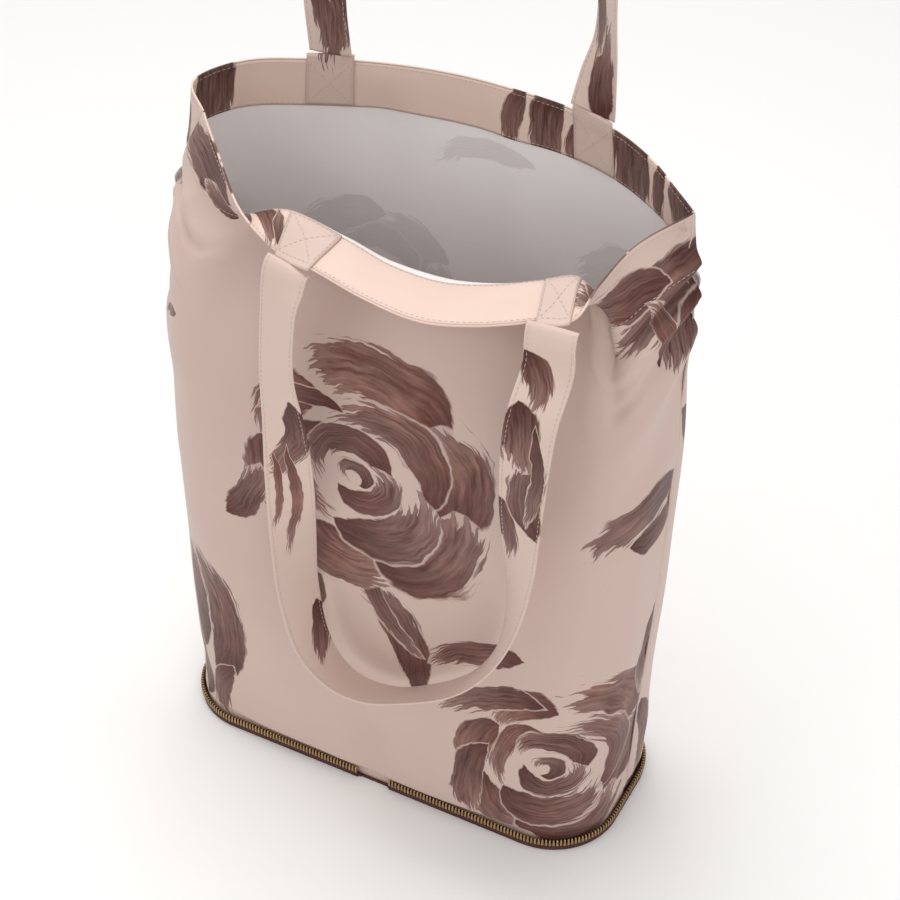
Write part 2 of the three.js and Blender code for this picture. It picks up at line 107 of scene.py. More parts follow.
BACK = [
    [(-166, 0, 21), (-163.5, 33, 24), (-139.5, 62.5, 26), (-98, 69.5, 26), (-51, 70, 26),
     (0, 70, 26), (50, 71, 26), (93, 71, 26), (127, 68, 26), (155.5, 50.5, 25), (166, 27, 22),
     (167.5, 0, 21)],
    [(-167, 0, 112), (-166, 32, 113), (-141, 60, 114), (-100, 71, 115), (-53, 76, 115),
     (-2, 77, 116), (49, 76, 116), (91, 73, 116), (125, 68, 116), (153, 51, 115), (168, 29, 115),
     (172, 2, 115)],
    [(-168, 0, 238), (-166.5, 30, 239), (-145, 57, 241), (-105, 72, 242), (-57, 79, 243),
     (-5, 81, 244), (45, 80, 245), (88, 76, 245), (123, 68, 245), (154, 51, 244), (172, 32, 243),
     (177, 6, 243)],
    [(-169, -2, 335), (-167.5, 27, 338), (-148, 53, 340), (-110, 71, 341), (-61, 80, 343),
     (-9, 83, 345), (41, 82, 346), (85, 77, 346), (120, 68, 345), (152, 52, 344), (173, 34, 343),
     (178, 12, 341)],
    [(-166, -4, 394), (-168, 24, 398), (-150, 50, 399), (-113, 70, 399), (-64, 81, 402),
     (-12, 84, 405), (38, 83, 406), (81, 77, 406), (115, 68, 405), (147, 52, 404), (169, 37, 402),
     (179, 16, 400)],
    [(-167, -6, 425), (-168, 20, 429), (-150, 48, 431), (-114, 70, 431), (-66, 81, 434),
     (-14, 85, 437), (36, 83, 438), (79, 77, 438), (112, 67, 437), (143, 50, 436), (164, 36, 434),
     (179, 17, 432)],
    [(-160, -6, 449), (-166, 17, 451), (-149, 47, 453), (-113, 69, 453), (-67, 81, 456),
     (-15, 85, 459), (35, 83, 460), (77, 77, 460), (110, 66, 459), (140, 48, 458), (160, 33, 456),
     (178, 17, 454)],
    [(-142, -8, 480), (-163, 14, 485), (-146, 46, 488), (-110, 68, 488), (-65, 80, 491),
     (-15, 84, 494), (34, 82, 495), (75, 76, 495), (107, 65, 494), (136, 47, 493), (155, 31, 491),
     (174, 15, 489)],
]
SECTIONS = {-1: np.array(FRONT, float), 1: np.array(BACK, float)}

# Folds in the cloth: start and end in millimetres across and up the panel, height, half width.
FOLDS = {
    -1: [
        ((6, 441), (72, 428), -6.0, 5.0), ((4, 430), (58, 398), 5.0, 6.5),
        ((10, 418), (46, 352), -3.5, 8.0), ((34, 448), (88, 420), 3.0, 7.0),
        ((0, 380), (52, 362), -2.5, 9.0), ((0, 340), (34, 250), 2.5, 12.0),
        ((421, 452), (352, 436), -6.5, 4.5), ((421, 463), (360, 455), 5.0, 5.0),
        ((421, 440), (345, 417), 5.0, 5.5), ((421, 428), (362, 392), -4.5, 5.5),
        ((421, 415), (372, 366), 4.0, 8.0), ((346, 462), (362, 398), -6.0, 7.0),
        ((336, 440), (340, 380), 3.5, 9.0), ((415, 380), (372, 320), -2.5, 12.0),
        ((421, 330), (350, 300), 2.0, 14.0), ((421, 290), (365, 280), -1.5, 8.0),
        ((398, 14), (419, 92), -2.5, 8.0), ((421, 160), (380, 150), -1.5, 10.0),
        ((60, 300), (150, 220), -2.2, 26.0), ((300, 250), (370, 340), 2.4, 26.0),
        ((110, 420), (95, 330), -2.4, 14.0), ((205, 60), (212, 8), -5.0, 13.0),
        ((150, 40), (150, 4), 3.0, 22.0), ((262, 40), (262, 4), 3.0, 24.0),
        ((20, 60), (90, 30), -1.8, 12.0), ((160, 200), (260, 150), 1.6, 30.0),
    ],
    1: [
        ((0, 455), (46, 410), -5.0, 6.0), ((0, 436), (60, 380), 4.0, 8.0),
        ((421, 470), (380, 400), -4.5, 7.0), ((421, 450), (360, 410), 3.5, 8.0),
        ((400, 380), (330, 250), -2.6, 16.0), ((60, 330), (140, 190), 2.8, 22.0),
        ((160, 450), (150, 300), 2.6, 16.0), ((255, 455), (265, 280), -2.6, 18.0),
        ((205, 60), (212, 8), -3.0, 13.0), ((300, 120), (390, 60), 2.0, 16.0),
        ((40, 150), (120, 80), -2.2, 16.0),
    ],
}


# ------------------------------------------------------------------ geometry helpers
def spread(at, t):
    """Matrix that carries values at the stations `at` to the places t, along a smooth cubic."""
    at = np.asarray(at, float)
    t = np.atleast_1d(np.asarray(t, float))
    n = len(at)
    i = np.clip(np.searchsorted(at, t, side="right") - 1, 0, n - 2)
    h = at[i + 1] - at[i]
    x = (t - at[i]) / h
    out = np.zeros((len(t), n))
    rows = np.arange(len(t))
    slope = np.zeros((n, n))
    for k in range(n):
        a, b = max(k - 1, 0), min(k + 1, n - 1)
        slope[k, b] += 1 / (at[b] - at[a])
        slope[k, a] -= 1 / (at[b] - at[a])
    out[rows, i] += 1 + x * x * (2 * x - 3)
    out[rows, i + 1] += x * x * (3 - 2 * x)
    out += (h * x * (1 - x) ** 2)[:, None] * slope[i]
    out += (h * x * x * (x - 1))[:, None] * slope[i + 1]
    return out


def outline_length(inset):
    flat = BASE_HALF_B - BASE_R
    return 2 * flat + (BASE_R - inset) * math.pi + 2 * (BASE_HALF_L - BASE_R)


def outline(s, inset, side):
    """Points at arc lengths s on the tooth line moved inward, from the left end to the right."""
    long, deep, r = BASE_HALF_L - inset, BASE_HALF_B - inset, BASE_R - inset
    flat = deep - r
    arc = r * math.pi / 2
    run = 2 * (long - r)
    points = []
    for q in np.atleast_1d(s):
        mirror = q > flat + arc + run / 2
        k = 2 * flat + 2 * arc + run - q if mirror else q
        if k < flat:
            x, y = -long, k
        elif k < flat + arc:
            a = (k - flat) / r
            x, y = -long + r - r * math.cos(a), flat + r * math.sin(a)
        else:
            x, y = -long + r + k - flat - arc, deep
        points.append((-x if mirror else x, side * y))
    return np.array(points)


def fold_height(side, u, v):
    """How far the cloth stands out of the plain loft, in millimetres, at every (u, v)."""
    x, y = np.meshgrid(np.asarray(u) * CUT_W, np.asarray(v) * CUT_H)
    total = np.zeros_like(x)
    for (x0, y0), (x1, y1), height, width in FOLDS[side]:
        dx, dy = x1 - x0, y1 - y0
        size = math.hypot(dx, dy)
        along = ((x - x0) * dx + (y - y0) * dy) / size
        across = ((x - x0) * dy - (y - y0) * dx) / size
        ends = np.maximum(0, np.maximum(-along, along - size))
        taper = 1 - 0.55 * np.clip(along / size, 0, 1)
        total += height * taper * np.exp(-(across / width) ** 2 - (ends / (1.4 * width)) ** 2)
    total += 1.1 * np.sin(x / 41 + 0.6 * np.sin(y / 70)) * np.sin(y / 88 + 1.3)
    total += 0.5 * np.sin(x / 17 + y / 43) * np.sin(y / 31 + 0.7) * np.clip(y / 200, 0, 1)
    seam = np.minimum(x, CUT_W - x)
    total -= 1.3 * np.exp(-((seam / 3.5) ** 2))
    hold = np.clip((y - 8) / 30, 0, 1) * np.clip((CUT_H - y) / 10, 0.25, 1)
    return total * hold


def wall(side, u, v):
    """Points and outward normals of the wall cloth, in millimetres, as arrays [v, u, 3]."""
    u, v = np.atleast_1d(u).astype(float), np.atleast_1d(v).astype(float)
    fine_u = np.unique(np.concatenate([u, np.clip(u - 0.003, 0, 1), np.clip(u + 0.003, 0, 1)]))
    fine_v = np.unique(np.concatenate([v, np.clip(v - 0.003, 0, 1), np.clip(v + 0.003, 0, 1)]))
    base = loft(side, fine_u, fine_v)
    n = grid_normals(side, base, fine_u, fine_v)
    lifted = base + n * fold_height(side, fine_u, fine_v)[..., None]
    n = grid_normals(side, lifted, fine_u, fine_v)
    pick = np.ix_(np.searchsorted(fine_v, v), np.searchsorted(fine_u, u))
    return lifted[pick], n[pick]


def loft(side, u, v):
    across = spread(STATIONS[side], u)
    columns = []
    for _, inset, z in FOOT[side]:
        xy = outline(u * outline_length(inset), inset, side)
        columns.append(np.column_stack([xy, np.full(len(u), float(z))]))
    columns += [across @ row for row in SECTIONS[side]]
    up = spread([f[0] for f in FOOT[side]] + ROW_V, v)
    return np.einsum("vk,kuc->vuc", up, np.array(columns))


def grid_normals(side, points, u, v):
    du = np.gradient(points, u, axis=1)
    dv = np.gradient(points, v, axis=0)
    n = np.cross(du, dv) * -side
    return n / np.linalg.norm(n, axis=-1, keepdims=True)


def mesh_object(name, points, faces, uvs=None, slots=None, materials=(), smooth=True):
    """A mesh from points in millimetres, with one UV per point (in metres) and face slots."""
    mesh = bpy.data.meshes.new(name)
    mesh.from_pydata((np.asarray(points) * MM).tolist(), [], [tuple(f) for f in faces])
    if uvs is not None:
        uv_layer = mesh.uv_layers.new(name="cloth")
        at = np.zeros(len(mesh.loops), int)
        mesh.loops.foreach_get("vertex_index", at)
        uv_layer.data.foreach_set("uv", (np.asarray(uvs, float) * MM)[at].ravel())
    for m in materials:
        mesh.materials.append(m)
    if slots is not None:
        mesh.polygons.foreach_set("material_index", np.asarray(slots, np.int32))
    mesh.polygons.foreach_set("use_smooth", [smooth] * len(mesh.polygons))
    mesh.update()
    obj = bpy.data.objects.new(name, mesh)
    bpy.context.scene.collection.objects.link(obj)
    return obj


def slab(outer, inner, uv, flip):
    """Closed body between two point grids [rows, cols, 3]; slot 0 outside and edges, 1 inside."""
    rows, cols = outer.shape[:2]
    points = np.concatenate([outer.reshape(-1, 3), inner.reshape(-1, 3)])
    uvs = np.concatenate([uv.reshape(-1, 2)] * 2)
    at = np.arange(rows * cols).reshape(rows, cols)
    a, b, c, d = at[:-1, :-1], at[:-1, 1:], at[1:, 1:], at[1:, :-1]
    top = np.stack([a, b, c, d], -1).reshape(-1, 4)
    faces = [top, top[:, ::-1] + rows * cols]
    slots = [0] * len(top) + [1] * len(top)
    ring = np.concatenate([at[0, :], at[1:, -1], at[-1, -2::-1], at[-2:0:-1, 0]])
    ahead = np.roll(ring, -1)
    edge = np.stack([ring, ring + rows * cols, ahead + rows * cols, ahead], -1)
    faces.append(edge)
    slots += [0] * len(edge)
    faces = np.concatenate(faces)
    return points, (faces[:, ::-1] if flip else faces), uvs, slots


def layer(name, side, u, v, depth, materials):
    """A layer of cloth that follows the wall between two depths inside its outer face.

    Four materials are the lower and upper outer cloth, then the same two for the inside.
    """
    p, n = wall(side, u, v)
    x, y = np.meshgrid(np.asarray(u) * CUT_W, np.asarray(v) * CUT_H)
    parts = slab(p - n * depth[0], p - n * depth[1], np.stack([x, y], -1), side > 0)
    points, faces, uvs, slots = parts
    if len(materials) == 4:
        upper = np.repeat((y[:-1, 0] + y[1:, 0]) / 2 > PRINT_SPLIT, len(u) - 1).astype(int)
        slots = [*upper, *(upper + 2)] + [1] * (len(faces) - 2 * len(upper))
    return mesh_object(name, points, faces, uvs, slots, materials)


class Pile:
    """Many small shapes gathered into one mesh."""

    def __init__(self):
        self.points, self.faces = [], []
        self.count = 0

    def add(self, points, faces):
        self.points.append(np.asarray(points, float))
        self.faces += [tuple(i + self.count for i in f) for f in faces]
        self.count += len(points)

    def build(self, name, material, smooth=True):
        return mesh_object(name, np.concatenate(self.points), self.faces,
                           materials=[material], smooth=smooth)


def tube_faces(rings, sides):
    """Faces of a closed tube made of rings with this many points, both ends capped."""
    at = np.arange(rings * sides).reshape(rings, sides)
    ahead = np.roll(at, -1, axis=1)
    quads = np.stack([at[:-1], ahead[:-1], ahead[1:], at[1:]], -1).reshape(-1, 4)
    return [tuple(q) for q in quads.tolist()] + [tuple(at[0][::-1].tolist()), tuple(at[-1].tolist())]


def add_tube(pile, path, radius, sides=5):
    """A thin closed tube along a path of points, narrower at its ends."""
    path = np.asarray(path, float)
    t = np.gradient(path, axis=0)
    t /= np.linalg.norm(t, axis=1, keepdims=True)
    hint = np.array([0.3, 0.2, 0.93])
    a = np.cross(t, hint)
    a /= np.linalg.norm(a, axis=1, keepdims=True)
    b = np.cross(t, a)
    size = np.full(len(path), radius)
    size[[0, -1]] *= 0.35
    angle = np.linspace(0, 2 * math.pi, sides, endpoint=False)
    ring = [path + size[:, None] * (math.cos(q) * a + math.sin(q) * b) for q in angle]
    points = np.stack(ring, 1).reshape(-1, 3)
    pile.add(points, tube_faces(len(path), sides))


def add_stitches(pile, path, normal, length=2.5, gap=0.9, radius=0.19):
    """Dashes of thread along a path that lies on a surface with these normals."""
    path = np.asarray(path, float)
    normal = np.asarray(normal, float)
    step = np.linalg.norm(np.diff(path, axis=0), axis=1)
    s = np.concatenate([[0], np.cumsum(step)])
    start = gap
    while start + length < s[-1]:
        at = np.linspace(start, start + length, 4)
        p = np.column_stack([np.interp(at, s, path[:, k]) for k in range(3)])
        n = np.column_stack([np.interp(at, s, normal[:, k]) for k in range(3)])
        lift = np.array([-0.05, 0.14, 0.14, -0.05])[:, None]
        add_tube(pile, p + n * lift, radius)
        start += length + gap


# ------------------------------------------------------------------ materials
class Nodes:
    """Short names for making shader nodes."""

    def __init__(self, tree):
        self.tree = tree

    def new(self, kind, **settings):
        node = self.tree.nodes.new(kind)
        for key, value in settings.items():
            setattr(node, key, value)
        return node

    def link(self, value, socket):
        if isinstance(value, (int, float, tuple)):
            socket.default_value = value
        else:
            self.tree.links.new(value, socket)

    def math(self, operation, a, b=0.0, c=0.0, clamp=False):
        node = self.new("ShaderNodeMath", operation=operation, use_clamp=clamp)
        for value, socket in zip((a, b, c), node.inputs):
            self.link(value, socket)
        return node.outputs[0]

    def noise(self, vector, scale, detail=2.0, rough=0.5):
        node = self.new("ShaderNodeTexNoise")
        self.link(vector, node.inputs["Vector"])
        node.inputs["Scale"].default_value = scale
        node.inputs["Detail"].default_value = detail
        node.inputs["Roughness"].default_value = rough
        return node.outputs["Fac"]

    def mix(self, factor, a, b):
        node = self.new("ShaderNodeMix", data_type="RGBA")
        self.link(factor, node.inputs[0])
        self.link(a, node.inputs[6])
        self.link(b, node.inputs[7])
        return node.outputs[2]

    def xyz(self, x, y, z=0.0):
        node = self.new("ShaderNodeCombineXYZ")
        for value, socket in zip((x, y, z), node.inputs):
            self.link(value, socket)
        return node.outputs[0]

    def split(self, vector):
        node = self.new("ShaderNodeSeparateXYZ")
        self.link(vector, node.inputs[0])
        return node.outputs


def brush_group():
    """One brush stroke, in its own frame: it runs along the circle of radius 1, about angle 0.

    Gives the ink that it lays, a halo that it clears from what lies below, and its streaks.
    """
    tree = bpy.data.node_groups.new("brush stroke", "ShaderNodeTree")
    face = tree.interface
    face.new_socket("Place", in_out="INPUT", socket_type="NodeSocketVector")
    for name in ("Width", "Span", "Length"):
        face.new_socket(name, in_out="INPUT", socket_type="NodeSocketFloat")
    for name in ("Ink", "Halo", "Streak"):
        face.new_socket(name, in_out="OUTPUT", socket_type="NodeSocketFloat")
    k = Nodes(tree)
    given = k.new("NodeGroupInput").outputs
    x, y, seed = k.split(given["Place"])
    turn = k.math("ARCTAN2", y, x)
    reach = k.math("SQRT", k.math("ADD", k.math("MULTIPLY", x, x), k.math("MULTIPLY", y, y)))
    t = k.math("DIVIDE", turn, given["Span"])
    d = k.math("DIVIDE", k.math("SUBTRACT", reach, 1.0), given["Width"])
    t3 = k.math("MULTIPLY", k.math("MULTIPLY", t, t), k.math("ABSOLUTE", t))
    body = k.math("SUBTRACT", k.math("SUBTRACT", 1.0, t3), k.math("ABSOLUTE", d))
    along = k.math("MULTIPLY", t, given["Length"])
    hairs = k.noise(k.xyz(k.math("MULTIPLY", d, 8.5), along, seed), 1.0, 2.5, 0.55)
    hairs = k.math("MULTIPLY_ADD", k.math("SUBTRACT", hairs, 0.5), 2.2, 0.5, clamp=True)
    gone = k.math("MULTIPLY_ADD", t, 0.5, 0.5, clamp=True)
    dry = k.math("MULTIPLY_ADD", k.math("POWER", gone, 3.0), 1.7, 0.10)
    wet = k.math("ADD", body, k.math("MULTIPLY", k.math("SUBTRACT", hairs, 0.6), dry))
    veil = k.math("MULTIPLY_ADD", k.math("MULTIPLY", hairs, gone), -0.42, 1.0)
    pooled = k.math("SUBTRACT", 1.0, k.math("MULTIPLY", body, 3.5, clamp=True))
    streak = k.math("MULTIPLY_ADD", gone, 0.42, k.math("MULTIPLY", hairs, 0.5))
    ends = k.new("NodeGroupOutput").inputs
    k.link(k.math("MULTIPLY", k.math("MULTIPLY", wet, 9.0, clamp=True), veil), ends["Ink"])
    rim = k.math("MULTIPLY", k.math("ADD", body, 0.06), 12.0, clamp=True)
    k.link(k.math("MULTIPLY", rim, 0.8), ends["Halo"])
    k.link(k.math("MULTIPLY_ADD", pooled, -0.22, streak), ends["Streak"])
    return tree


def print_group(name, strokes, brush):
    """Numbered strokes of one printed cut, laid in order; gives ink cover and tone."""
    tree = bpy.data.node_groups.new(name, "ShaderNodeTree")
    tree.interface.new_socket("Place", in_out="INPUT", socket_type="NodeSocketVector")
    tree.interface.new_socket("Ink", in_out="OUTPUT", socket_type="NodeSocketFloat")
    tree.interface.new_socket("Tone", in_out="OUTPUT", socket_type="NodeSocketFloat")
    k = Nodes(tree)
    place = k.new("NodeGroupInput").outputs["Place"]
    x, y, _ = k.split(place)
    drift = k.math("SUBTRACT", k.noise(place, 26.0, 3.0, 0.6), 0.5)
    drift2 = k.math("SUBTRACT", k.noise(k.xyz(y, x, 4.0), 31.0, 3.0, 0.6), 0.5)
    moved = k.xyz(k.math("MULTIPLY_ADD", drift, 0.013, x), k.math("MULTIPLY_ADD", drift2, 0.013, y))
    ink, tone = None, None
    for i, (cx, cy, radius, width, angle, span, shade) in strokes:
        frame_of = k.new("ShaderNodeMapping", vector_type="TEXTURE")
        k.link(moved, frame_of.inputs["Vector"])
        frame_of.inputs["Location"].default_value = (cx * MM, cy * MM, -3.7 * i)
        frame_of.inputs["Rotation"].default_value = (0, 0, math.radians(angle))
        frame_of.inputs["Scale"].default_value = (radius * MM, radius * MM, 1)
        node = k.new("ShaderNodeGroup", node_tree=brush)
        k.link(frame_of.outputs[0], node.inputs["Place"])
        node.inputs["Width"].default_value = width / radius
        node.inputs["Span"].default_value = math.radians(span)
        node.inputs["Length"].default_value = 38 * MM * radius * math.radians(span)
        laid = node.outputs["Ink"]
        local = k.math("MULTIPLY_ADD", node.outputs["Streak"], 0.6, shade)
        if ink is None:
            ink, tone = laid, local
            continue
        kept = k.math("MULTIPLY", ink, k.math("SUBTRACT", 1.0, node.outputs["Halo"]))
        ink = k.math("MAXIMUM", kept, laid)
        tone = k.math("MULTIPLY_ADD", laid, k.math("SUBTRACT", local, tone), tone)
    ends = k.new("NodeGroupOutput").inputs
    k.link(ink, ends["Ink"])
    k.link(tone, ends["Tone"])
    return tree


def within(strokes, low, high):
    """The strokes, with their numbers, that reach the part of a cut between two heights."""
    out = []
    for i, stroke in enumerate(strokes):
        _, cy, radius, width, angle, span, _ = stroke
        turns = [math.radians(angle + span * f / 6) for f in range(-6, 7)]
        heights = [cy + radius * math.sin(a) for a in turns]
        if max(heights) + width + 6 > low and min(heights) - width - 6 < high:
            out.append((i, stroke))
    return out


def cloth_material(name, group, inside=False, low=(0.565, 0.42, 0.37, 1),
                   high=(0.635, 0.485, 0.435, 1)):
    """Printed satin cloth; its inside shows the back of the print, faintly, on a near-white lifted
    with painted light for light through the thin cloth.
    """
    mat = bpy.data.materials.new(name)
    mat.use_nodes = True
    k = Nodes(mat.node_tree)
    shader = mat.node_tree.nodes["Principled BSDF"]
    place = k.new("ShaderNodeUVMap", uv_map="cloth").outputs[0]
    x, y, _ = k.split(place)
    node = k.new("ShaderNodeGroup", node_tree=group)
    k.link(place, node.inputs["Place"])
    ink, tone = node.outputs["Ink"], node.outputs["Tone"]
    cloud = k.noise(place, 9.0, 2.0)
    if inside:
        # Painted light: the lining side's near-white is lifted above the bare back's own colour,
        # standing in for light that comes through the thin cloth.
        bare = k.mix(cloud, (0.90, 0.85, 0.84, 1), (0.94, 0.895, 0.885, 1))
        color = k.mix(k.math("MULTIPLY", ink, 0.36), bare, (0.46, 0.40, 0.39, 1))
        k.link(0.62, shader.inputs["Roughness"])
    else:
        bare = k.mix(cloud, low, high)
        ramp = k.new("ShaderNodeValToRGB")
        ramp.color_ramp.elements[0].color = (0.066, 0.016, 0.012, 1)
        ramp.color_ramp.elements[0].position = 0.16
        ramp.color_ramp.elements[1].color = (0.33, 0.14, 0.105, 1)
        ramp.color_ramp.elements[1].position = 1.0
        middle = ramp.color_ramp.elements.new(0.52)
        middle.color = (0.125, 0.036, 0.026, 1)
        wash = k.math("MULTIPLY_ADD", k.noise(place, 36.0, 4.0, 0.62), 0.95, tone)
        k.link(k.math("SUBTRACT", wash, 0.46), ramp.inputs[0])
        color = k.mix(ink, bare, ramp.outputs[0])
        k.link(0.48, shader.inputs["Roughness"])
    k.link(color, shader.inputs["Base Color"])
    shader.inputs["Sheen Weight"].default_value = 0.06
    shader.inputs["Sheen Roughness"].default_value = 0.4
    shader.inputs["Specular IOR Level"].default_value = 0.26
    threads = k.math("MULTIPLY", k.math("SINE", k.math("MULTIPLY", x, 15700.0)),
                     k.math("SINE", k.math("MULTIPLY", y, 15700.0)))
    slub = k.noise(k.xyz(k.math("MULTIPLY", x, 0.25), y), 700.0, 3.0)
    crumple = k.noise(place, 55.0, 3.0, 0.55)
    height = k.math("MULTIPLY_ADD", threads, 0.04, k.math("MULTIPLY", slub, 0.16))
    height = k.math("MULTIPLY_ADD", crumple, 1.3, height)
    drape = k.noise(k.xyz(x, k.math("MULTIPLY", y, 0.45)), 17.0, 1.0)
    height = k.math("MULTIPLY_ADD", drape, 7.0, height)
    bump = k.new("ShaderNodeBump")
    bump.inputs["Strength"].default_value = 0.22
    bump.inputs["Distance"].default_value = 0.0011
    k.link(height, bump.inputs["Height"])
    k.link(bump.outputs[0], shader.inputs["Normal"])
    return mat


def plain_cloth(name, low, high, rough, cell):
    """Woven cloth or tape of one dyed colour, with a fine thread pattern in object space."""
    mat = bpy.data.materials.new(name)
    mat.use_nodes = True
    k = Nodes(mat.node_tree)
    shader = mat.node_tree.nodes["Principled BSDF"]
    place = k.new("ShaderNodeTexCoord").outputs["Object"]
    x, y, z = k.split(place)
    wave = 2 * math.pi / (cell * MM)
    weave = k.math("MULTIPLY", k.math("SINE", k.math("MULTIPLY", k.math("ADD", x, y), wave)),
                   k.math("SINE", k.math("MULTIPLY", k.math("SUBTRACT", z, x), wave)))
    mixed = k.math("MULTIPLY_ADD", weave, 0.2, k.noise(place, 160.0, 4.0), clamp=True)
    k.link(k.mix(mixed, low, high), shader.inputs["Base Color"])
    k.link(rough, shader.inputs["Roughness"])
    bump = k.new("ShaderNodeBump")
    bump.inputs["Strength"].default_value = 0.4
    bump.inputs["Distance"].default_value = 0.0003
    k.link(mixed, bump.inputs["Height"])
    k.link(bump.outputs[0], shader.inputs["Normal"])
    return mat


def brass_material():
    """Antique brass: brighter and browner in patches that change at random."""
    mat = bpy.data.materials.new("antique brass")
    mat.use_nodes = True
    k = Nodes(mat.node_tree)
    shader = mat.node_tree.nodes["Principled BSDF"]
    place = k.new("ShaderNodeTexCoord").outputs["Object"]
    age = k.noise(place, 420.0, 4.0, 0.6)
    k.link(k.mix(age, (0.24, 0.14, 0.06, 1), (0.70, 0.50, 0.27, 1)), shader.inputs["Base Color"])
    shader.inputs["Metallic"].default_value = 1.0
    k.link(k.math("MULTIPLY_ADD", age, -0.2, 0.48), shader.inputs["Roughness"])
    return mat


def bloom(cx, cy, size, turn, shade=0.18):
    """Strokes of one loose rose: outer petals first, then a curl of shorter strokes inside."""
    petals = [
        (0.10, 0.62, 0.58, 0.25, 72, 56, 0.10), (-0.52, 0.46, 0.42, 0.19, 140, 48, 0.14),
        (-0.66, -0.16, 0.42, 0.19, 192, 50, 0.10), (-0.12, -0.60, 0.46, 0.24, -112, 52, 0.08),
        (0.62, 0.22, 0.44, 0.27, 8, 60, 0.02), (0.44, -0.42, 0.46, 0.33, -48, 62, -0.04),
        (0.22, 0.24, 0.42, 0.16, 46, 82, 0.04), (-0.24, -0.04, 0.36, 0.13, 172, 80, 0.06),
        (0.10, -0.22, 0.38, 0.19, -62, 76, -0.08), (-0.12, 0.14, 0.25, 0.11, 100, 100, -0.04),
        (0.02, 0.00, 0.19, 0.11, -50, 110, -0.12), (-0.06, 0.06, 0.08, 0.06, 60, 150, -0.12),
    ]
    c, s = math.cos(math.radians(turn)), math.sin(math.radians(turn))
    out = []
    for x, y, radius, width, angle, span, tone in petals:
        place = (cx + size * 0.45 * (c * x - s * y), cy + size * 0.45 * (s * x + c * y))
        out.append((*place, size * radius, size * width, angle + turn, span, shade + tone))
    return out


def dab(x, y, heading, half_length, half_width, shade, bend=160):
    """A nearly straight stroke through (x, y); a negative bend curves it the other way."""
    side = math.radians(heading + (-90 if bend > 0 else 90))
    bend = abs(bend)
    centre = (x + bend * math.cos(side), y + bend * math.sin(side))
    return (*centre, bend, half_width, math.degrees(side) + 180, math.degrees(half_length / bend),
            shade)


def front_strokes():
    """The front's print: a large rose, a lower one at the right, leaves at the sides."""
    return [
        dab(232, 172, -62, 52, 15, 0.12, 90), dab(216, 186, -58, 44, 7, 0.02, -80),
        dab(166, 196, -80, 46, 8, 0.08, 200), dab(170, 128, -55, 20, 8, 0.16, 60),
        *bloom(196, 284, 92, 8),
        dab(120, 240, 62, 30, 12, 0.12, -60), dab(150, 330, 20, 34, 7, 0.20, 50),
        dab(284, 176, 20, 42, 11, 0.14, 90),
        *bloom(350, 84, 84, -24),
        dab(300, 142, 18, 46, 12, 0.16, 80), dab(284, 60, 84, 42, 12, 0.10, 90),
        dab(94, 112, -80, 66, 17, 0.06, 100), dab(66, 116, -84, 56, 13, 0.00, 140),
        dab(60, 52, -70, 44, 12, 0.10, 80), dab(86, 40, -102, 34, 10, 0.14, -90),
        dab(388, 302, 18, 42, 17, 0.08, 60), dab(404, 276, 8, 26, 12, 0.02, -70),
        dab(415, 165, 84, 48, 9, 0.06, 120), dab(50, 362, 30, 16, 6, 0.24, 40),
        dab(398, 458, 12, 44, 24, 0.00, 120), dab(366, 474, -6, 34, 13, 0.12, 90),
        dab(410, 424, 62, 26, 15, 0.06, 60), dab(392, 436, -80, 30, 6, 0.22, 80),
        dab(26, 480, 4, 44, 15, 0.02, 160), dab(58, 470, -16, 26, 8, 0.18, 80),
    ]


def back_strokes():
    """The back's print: two roses and loose leaves, placed freely."""
    return [
        *bloom(150, 326, 64, 40, 0.1),
        *bloom(285, 140, 88, 160, 0.16),
        dab(70, 180, 60, 60, 15, 0.10, 90), dab(96, 96, -40, 44, 11, 0.05, 70),
        dab(330, 400, 30, 54, 14, 0.05, 80), dab(396, 320, 70, 44, 11, 0.10, 90),
        dab(16, 462, 60, 30, 15, 0.02, 80), dab(404, 60, 86, 50, 11, 0.10, 120),
        dab(230, 446, 10, 40, 9, 0.16, 90),
    ]


def front_band_strokes():
    """Patches of the same print, as the narrow cut of the front band would show it."""
    return [
        dab(40, 479, 2, 44, 16, 0.0, 200), dab(80, 476, 80, 20, 9, 0.10, 40),
        dab(104, 474, 64, 26, 9, 0.12, -60), dab(114, 480, 70, 20, 4, 0.02, 60),
        dab(368, 481, 4, 46, 20, 0.02, 200), dab(342, 470, 30, 14, 6, 0.22, 50),
        dab(402, 486, -8, 28, 17, 0.04, 90),
    ]


def back_band_strokes():
    """Patches on the band that is seen inside the mouth, above the back wall."""
    return [
        dab(50, 478, 84, 34, 17, 0.0, 90), dab(254, 478, 78, 26, 8, 0.20, 60),
        dab(278, 478, 82, 30, 13, 0.04, 90), dab(299, 474, 66, 24, 6, 0.14, 60),
        dab(346, 478, 84, 34, 20, 0.02, 120), dab(374, 476, 76, 28, 7, 0.14, 70),
        dab(404, 479, 86, 32, 17, 0.04, 90),
    ]


def front_strap_strokes():
    """Patches along the front strap, measured across and along it."""
    return [
        dab(6, 168, -70, 34, 10, 0.04, 60), dab(3, 214, -88, 44, 4, 0.30, 200),
        dab(-8, 208, -86, 30, 3, 0.34, 200), dab(9, 328, -70, 26, 9, 0.06, 60),
        dab(10, 620, 80, 26, 9, 0.02, 60), dab(-2, 650, 84, 34, 13, 0.08, -60),
        dab(4, 690, 80, 24, 14, 0.06, 90), dab(-9, 664, 88, 40, 5, 0.00, 160),
        dab(4, 728, 70, 20, 10, 0.12, 50),
    ]


def back_strap_strokes():
    """Patches along the back strap, measured across and along it."""
    return [
        dab(-4, 70, 88, 40, 14, 0.04, 200), dab(6, 120, 84, 44, 10, 0.14, -160),
        dab(0, 400, 60, 26, 10, 0.10, 60), dab(6, 560, 80, 44, 9, 0.10, 90),
        dab(2, 690, 86, 36, 12, 0.08, 120), dab(-7, 656, 78, 28, 7, 0.04, -60),
    ]


